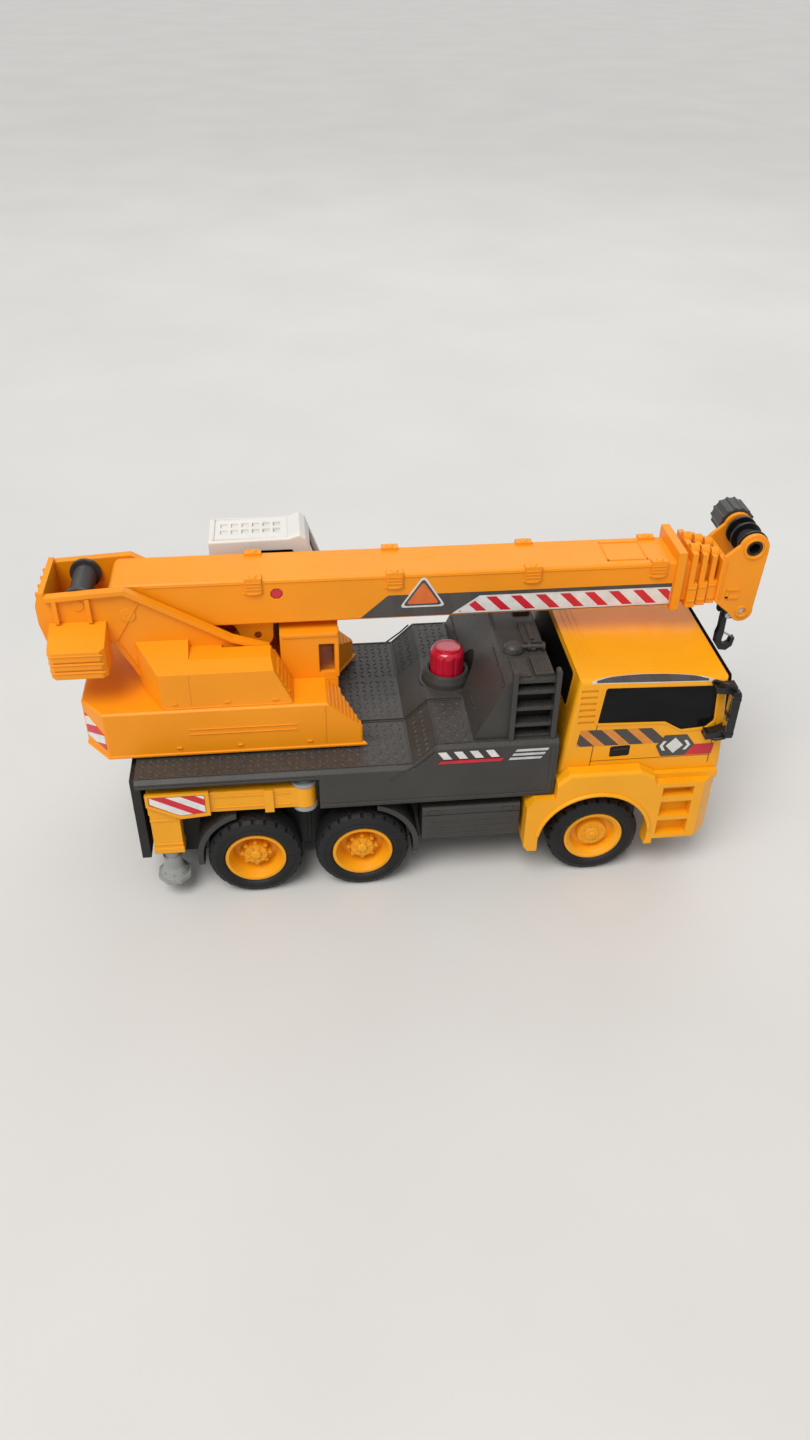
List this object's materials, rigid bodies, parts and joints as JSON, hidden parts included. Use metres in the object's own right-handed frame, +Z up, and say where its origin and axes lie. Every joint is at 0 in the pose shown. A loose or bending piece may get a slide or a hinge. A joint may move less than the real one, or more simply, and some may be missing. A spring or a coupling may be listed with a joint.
{
  "type": "toy mobile crane truck",
  "caption": "Toy mobile crane truck: cab with fenders, deck, slewing turntable, telescopic boom with winch and hook, operator cabin, swing-out outriggers and an air-pump button.",
  "frame": {"origin": "On the ground under the centre of the overall bounding box, at rest with the boom level and retracted", "axes": "+X towards the cab, +Y to the truck's left, +Z up"},
  "size_m": [0.3106, 0.112, 0.1548],
  "materials": {
    "crane_orange": "satin moulded orange plastic",
    "cab_yellow": "glossy warm yellow plastic",
    "deck_grey": "dark grey moulded plastic",
    "frame_black": "black moulded plastic",
    "tyre_black": "soft black plastic tyre",
    "rim_yellow": "yellow moulded rim",
    "cabin_white": "off-white plastic",
    "button_red": "crimson plastic",
    "pin_grey": "light grey plastic",
    "steel": "bright steel",
    "black_glass": "black gloss panel",
    "lamp": "pale lamp lens",
    "cord": "black braided cord",
    "hose": "soft air hose"
  },
  "bodies": {
    "chassis": {"deck": "deck_grey", "underframe": "frame_black", "equipment_box": "deck_grey", "side_boxes": "deck_grey", "mudguards": "deck_grey", "cab_shell": "cab_yellow", "cab_fenders": "cab_yellow", "cab_glazing": "black_glass", "front_grille": "frame_black", "headlamps": "lamp", "mirrors": "frame_black", "pump_collar": "deck_grey", "pump_cylinder": "frame_black", "check_valve": "frame_black", "air_hose": "hose", "chassis_screws": "steel", "outrigger_pins": "pin_grey"},
    "front_wheels": {"front_axle": "steel", "front_rims": "rim_yellow", "front_tyres": "tyre_black"},
    "middle_wheels": {"middle_axle": "steel", "middle_rims": "rim_yellow", "middle_tyres": "tyre_black"},
    "rear_wheels": {"rear_axle": "steel", "rear_rims": "rim_yellow", "rear_tyres": "tyre_black"},
    "pump": {"pump_button": "button_red", "pump_plunger": "frame_black", "pump_spring": "steel"},
    "outrigger_right": {"outrigger_arm_right": "cab_yellow"},
    "outrigger_left": {"outrigger_arm_left": "cab_yellow"},
    "foot_right": {"outrigger_foot_right": "pin_grey"},
    "foot_left": {"outrigger_foot_left": "pin_grey"},
    "turntable": {"turntable_base": "crane_orange", "turntable_retainer": "frame_black", "turntable_screws": "steel", "engine_cover": "crane_orange", "mast": "crane_orange", "counterweights": "crane_orange", "operator_cabin": "cabin_white", "cabin_windows": "black_glass", "boom_cradle": "crane_orange", "turntable_pins": "pin_grey"},
    "drum": {"winch_drum": "deck_grey"},
    "lift_barrel": {"lift_cylinder": "crane_orange"},
    "lift_piston": {"lift_rod": "steel"},
    "boom": {"boom_outer": "crane_orange", "boom_lug_pin": "steel"},
    "section_two": {"boom_section_two": "crane_orange"},
    "section_three": {"boom_section_three": "crane_orange"},
    "section_four": {"boom_section_four": "crane_orange", "jib_head": "crane_orange", "line_guide_pin": "steel", "hoist_cord_upper": "cord"},
    "spool": {"hook_spool": "frame_black", "winch_knob": "deck_grey"},
    "line": {"guide_roller": "frame_black", "hoist_cord": "cord"},
    "hook_carrier": {"hook_block": "frame_black"},
    "hook": {"hook": "frame_black"}
  },
  "joints": [
    {"name": "front_wheel_spin", "type": "hinge", "parent": "chassis", "child": "front_wheels", "pos_m": [0.0814, 0, 0.0212], "axis": [0, 1, 0], "continuous": true},
    {"name": "middle_wheel_spin", "type": "hinge", "parent": "chassis", "child": "middle_wheels", "pos_m": [-0.0257, 0, 0.0212], "axis": [0, 1, 0], "continuous": true},
    {"name": "rear_wheel_spin", "type": "hinge", "parent": "chassis", "child": "rear_wheels", "pos_m": [-0.074, 0, 0.0212], "axis": [0, 1, 0], "continuous": true},
    {"name": "pump_press", "type": "slide", "parent": "chassis", "child": "pump", "axis": [0, 0, -1], "range_m": [0, 0.007], "stiffness_N_per_m": 60, "springref_m": -0.004, "deforming": ["pump_spring"]},
    {"name": "outrigger_right_swing", "type": "hinge", "parent": "chassis", "child": "outrigger_right", "pos_m": [-0.0505, -0.0445, 0.055], "axis": [0, 0, 1], "range_deg": [0, 90]},
    {"name": "outrigger_left_swing", "type": "hinge", "parent": "chassis", "child": "outrigger_left", "pos_m": [-0.0505, 0.0445, 0.055], "axis": [0, 0, -1], "range_deg": [0, 90]},
    {"name": "foot_right_lower", "type": "slide", "parent": "outrigger_right", "child": "foot_right", "axis": [0, 0, -1], "range_m": [0, 0.0095]},
    {"name": "foot_left_lower", "type": "slide", "parent": "outrigger_left", "child": "foot_left", "axis": [0, 0, -1], "range_m": [0, 0.0095]},
    {"name": "slew", "type": "hinge", "parent": "chassis", "child": "turntable", "pos_m": [-0.0855, 0, 0.07], "axis": [0, 0, 1], "continuous": true},
    {"name": "rear_winch_spin", "type": "hinge", "parent": "turntable", "child": "drum", "pos_m": [-0.1385, 0, 0.136], "axis": [0, 1, 0], "continuous": true},
    {"name": "boom_luff", "type": "hinge", "parent": "turntable", "child": "boom", "pos_m": [-0.119, 0, 0.1305], "axis": [0, -1, 0], "range_deg": [0, 42]},
    {"name": "lift_barrel_tilt", "type": "hinge", "parent": "turntable", "child": "lift_barrel", "pos_m": [-0.09663, 0, 0.08026], "axis": [0, -1, 0], "range_deg": [0, 21]},
    {"name": "lift_rod_extend", "type": "slide", "parent": "lift_barrel", "child": "lift_piston", "axis": [0.6691, 0, 0.7431], "range_m": [0, 0.0336]},
    {"name": "section_two_extend", "type": "slide", "parent": "boom", "child": "section_two", "axis": [1, 0, 0], "range_m": [0, 0.09]},
    {"name": "section_three_extend", "type": "slide", "parent": "section_two", "child": "section_three", "axis": [1, 0, 0], "range_m": [0, 0.085]},
    {"name": "section_four_extend", "type": "slide", "parent": "section_three", "child": "section_four", "axis": [1, 0, 0], "range_m": [0, 0.08]},
    {"name": "hook_winch_turn", "type": "hinge", "parent": "section_four", "child": "spool", "pos_m": [0.1473, 0, 0.147], "axis": [0, -1, 0], "range_deg": [0, 1080]},
    {"name": "line_swing", "type": "hinge", "parent": "section_four", "child": "line", "pos_m": [0.1476, 0, 0.1158], "axis": [0, -1, 0], "range_deg": [-42, 0]},
    {"name": "hook_hoist", "type": "slide", "parent": "line", "child": "hook_carrier", "axis": [0, 0, -1], "range_m": [0, 0.08482], "deforming": ["hoist_cord"]},
    {"name": "hook_tilt", "type": "hinge", "parent": "hook_carrier", "child": "hook", "pos_m": [0.1449, 0, 0.1099], "axis": [0, -1, 0], "range_deg": [-10, 90]}
  ],
  "couplings": [
    {"joint": "lift_barrel_tilt", "follows": "boom_luff", "ratio": 0.5},
    {"joint": "lift_rod_extend", "follows": "boom_luff", "m_per_rad": 0.0458},
    {"joint": "line_swing", "follows": "boom_luff", "ratio": -1},
    {"joint": "hook_hoist", "follows": "hook_winch_turn", "m_per_rad": 0.0045}
  ]
}
